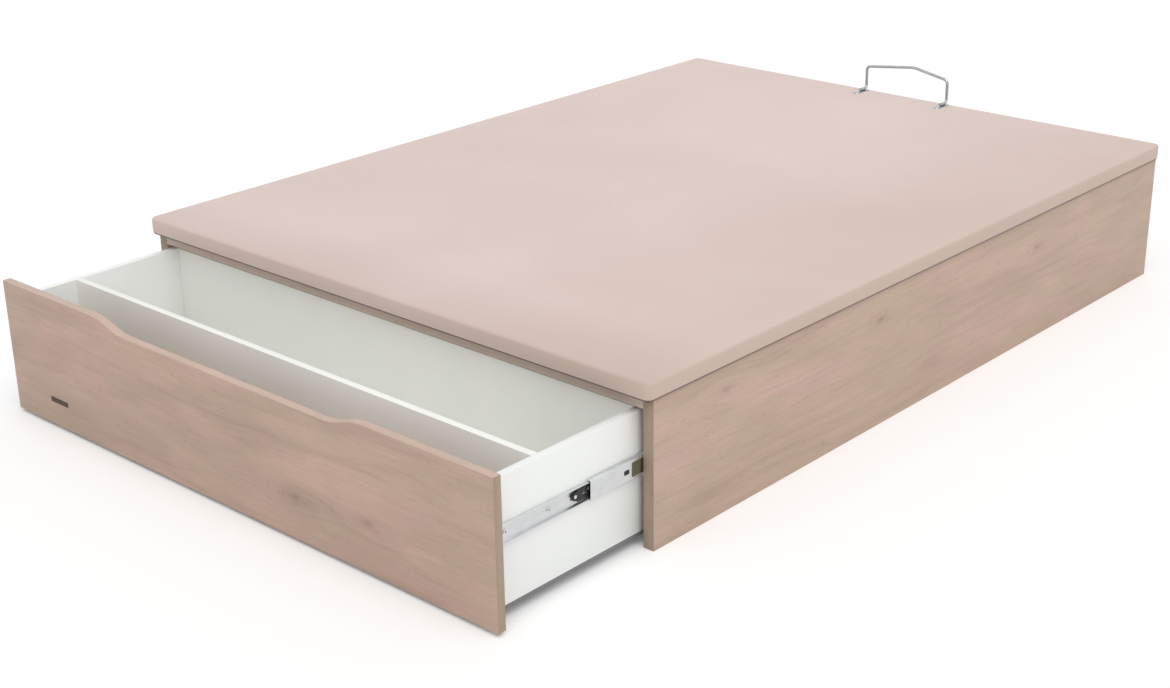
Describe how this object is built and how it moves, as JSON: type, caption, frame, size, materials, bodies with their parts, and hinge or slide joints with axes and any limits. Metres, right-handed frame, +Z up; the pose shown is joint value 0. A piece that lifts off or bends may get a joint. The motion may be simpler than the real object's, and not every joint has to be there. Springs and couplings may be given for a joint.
{
  "type": "lift-up storage bed base",
  "caption": "Box bed base with an upholstered lid that lifts on sprung four-bar arms over a storage space, and a full-width divided drawer at the foot.",
  "frame": {"origin": "on the floor, in the middle of the base's outline with its drawer pulled out", "axes": "+X to the right of someone standing at the foot, +Y from the foot to the head end, +Z up"},
  "size_m": [1.5, 2.391, 0.4398],
  "materials": {
    "oak_board": "washed pinkish oak melamine, matt, with soft lengthwise grain",
    "white_board": "white melamine, satin",
    "hardboard": "brown hardboard and batten, matt",
    "lid_fabric": "pinkish beige spacer fabric over thin foam",
    "painted_steel": "dark grey powder coat",
    "zinc_steel": "zinc-plated pressed steel",
    "bright_steel": "bright plated rod",
    "black_plastic": "black moulded plastic"
  },
  "bodies": {
    "carcass": {"head_panel": "oak_board", "drawer_bay_partition": "white_board", "foot_top_rail": "white_board", "partition_top_rail": "oak_board", "foot_bottom_rail": "oak_board", "floor_beam": "hardboard", "side_panel_left": "oak_board", "floor_cleat_left": "hardboard", "floor_board_left": "white_board", "corner_bracket_head_left": "zinc_steel", "corner_bracket_foot_left": "zinc_steel", "hinge_plate_left": "zinc_steel", "slide_cabinet_member_left": "zinc_steel", "side_panel_right": "oak_board", "floor_cleat_right": "hardboard", "floor_board_right": "white_board", "corner_bracket_head_right": "zinc_steel", "corner_bracket_foot_right": "zinc_steel", "hinge_plate_right": "zinc_steel", "slide_cabinet_member_right": "zinc_steel"},
    "lid": {"lid_top_pad": "lid_fabric", "lid_board": "hardboard", "lid_foot_tube": "painted_steel", "lid_head_tube": "painted_steel", "lid_cross_tube_1": "painted_steel", "lid_cross_tube_2": "painted_steel", "lid_cross_tube_3": "painted_steel", "lid_cross_tube_4": "painted_steel", "mattress_retainer": "bright_steel", "lid_border_head": "lid_fabric", "lid_border_foot": "lid_fabric", "lid_side_tube_left": "painted_steel", "lid_border_left": "lid_fabric", "lid_bracket_left": "zinc_steel", "lid_side_tube_right": "painted_steel", "lid_border_right": "lid_fabric", "lid_bracket_right": "zinc_steel"},
    "drawer": {"drawer_front": "oak_board", "drawer_back": "white_board", "drawer_bottom": "white_board", "drawer_divider": "white_board", "drawer_side_left": "white_board", "slide_drawer_member_left": "zinc_steel", "drawer_side_right": "white_board", "slide_drawer_member_right": "zinc_steel"},
    "rear_arm_body_left": {"rear_arm_left": "zinc_steel"},
    "front_lever_body_left": {"front_lever_left": "zinc_steel"},
    "gas_cylinder_body_left": {"gas_cylinder_left": "painted_steel"},
    "gas_rod_body_left": {"gas_rod_left": "bright_steel"},
    "slide_middle_left": {"slide_middle_member_left": "zinc_steel"},
    "release_lever_body_left": {"slide_release_lever_left": "black_plastic"},
    "rear_arm_body_right": {"rear_arm_right": "zinc_steel"},
    "front_lever_body_right": {"front_lever_right": "zinc_steel"},
    "gas_cylinder_body_right": {"gas_cylinder_right": "painted_steel"},
    "gas_rod_body_right": {"gas_rod_right": "bright_steel"},
    "slide_middle_right": {"slide_middle_member_right": "zinc_steel"},
    "release_lever_body_right": {"slide_release_lever_right": "black_plastic"}
  },
  "joints": [
    {"name": "drawer_slide", "type": "slide", "parent": "carcass", "child": "drawer", "axis": [0, 1, 0], "range_m": [0, 0.391]},
    {"name": "lid_lift", "type": "hinge", "parent": "carcass", "child": "rear_arm_body_left", "pos_m": [-0.713, 0.8075, 0.168], "axis": [1, 0, 0], "range_deg": [0, 34.93]},
    {"name": "lid_tilt", "type": "hinge", "parent": "rear_arm_body_left", "child": "lid", "pos_m": [-0.713, 1.0685, 0.262], "axis": [-1, 0, 0], "range_deg": [0, 72.93]},
    {"name": "front_lever_left_turn", "type": "hinge", "parent": "carcass", "child": "front_lever_body_left", "pos_m": [-0.7078, 0.7525, 0.234], "axis": [1, 0, 0], "range_deg": [0, 34.42]},
    {"name": "gas_cylinder_left_turn", "type": "hinge", "parent": "carcass", "child": "gas_cylinder_body_left", "pos_m": [-0.697, 0.4905, 0.13], "axis": [1, 0, 0], "range_deg": [0, 3.19]},
    {"name": "gas_rod_left_slide", "type": "slide", "parent": "gas_cylinder_body_left", "child": "gas_rod_body_left", "axis": [0, 0.9997, -0.0229], "range_m": [0, 0.0633]},
    {"name": "slide_middle_left_run", "type": "slide", "parent": "carcass", "child": "slide_middle_left", "axis": [0, 1, 0], "range_m": [0, 0.14467]},
    {"name": "release_lever_left_press", "type": "hinge", "parent": "drawer", "child": "release_lever_body_left", "pos_m": [-0.71, -0.96217, 0.172], "axis": [1, 0, 0], "range_deg": [0, 6], "stiffness_Nm_per_rad": 0.05},
    {"name": "rear_arm_right_turn", "type": "hinge", "parent": "carcass", "child": "rear_arm_body_right", "pos_m": [0.713, 0.8075, 0.168], "axis": [1, 0, 0], "range_deg": [0, 34.93]},
    {"name": "front_lever_right_turn", "type": "hinge", "parent": "carcass", "child": "front_lever_body_right", "pos_m": [0.7078, 0.7525, 0.234], "axis": [1, 0, 0], "range_deg": [0, 34.42]},
    {"name": "gas_cylinder_right_turn", "type": "hinge", "parent": "carcass", "child": "gas_cylinder_body_right", "pos_m": [0.697, 0.4905, 0.13], "axis": [1, 0, 0], "range_deg": [0, 3.19]},
    {"name": "gas_rod_right_slide", "type": "slide", "parent": "gas_cylinder_body_right", "child": "gas_rod_body_right", "axis": [0, 0.9997, -0.0229], "range_m": [0, 0.0633]},
    {"name": "slide_middle_right_run", "type": "slide", "parent": "carcass", "child": "slide_middle_right", "axis": [0, 1, 0], "range_m": [0, 0.14467]},
    {"name": "release_lever_right_press", "type": "hinge", "parent": "drawer", "child": "release_lever_body_right", "pos_m": [0.71, -0.96217, 0.172], "axis": [1, 0, 0], "range_deg": [0, 6], "stiffness_Nm_per_rad": 0.05}
  ],
  "couplings": [
    {"joint": "lid_tilt", "follows": "lid_lift", "ratio": 2.0879},
    {"joint": "front_lever_left_turn", "follows": "lid_lift", "ratio": 0.98547},
    {"joint": "gas_cylinder_left_turn", "follows": "lid_lift", "ratio": 0.0913},
    {"joint": "gas_rod_left_slide", "follows": "lid_lift", "m_per_rad": 0.10383},
    {"joint": "slide_middle_left_run", "follows": "drawer_slide", "ratio": 0.37},
    {"joint": "rear_arm_right_turn", "follows": "lid_lift", "ratio": 1},
    {"joint": "front_lever_right_turn", "follows": "lid_lift", "ratio": 0.98547},
    {"joint": "gas_cylinder_right_turn", "follows": "lid_lift", "ratio": 0.0913},
    {"joint": "gas_rod_right_slide", "follows": "lid_lift", "m_per_rad": 0.10383},
    {"joint": "slide_middle_right_run", "follows": "drawer_slide", "ratio": 0.37}
  ]
}
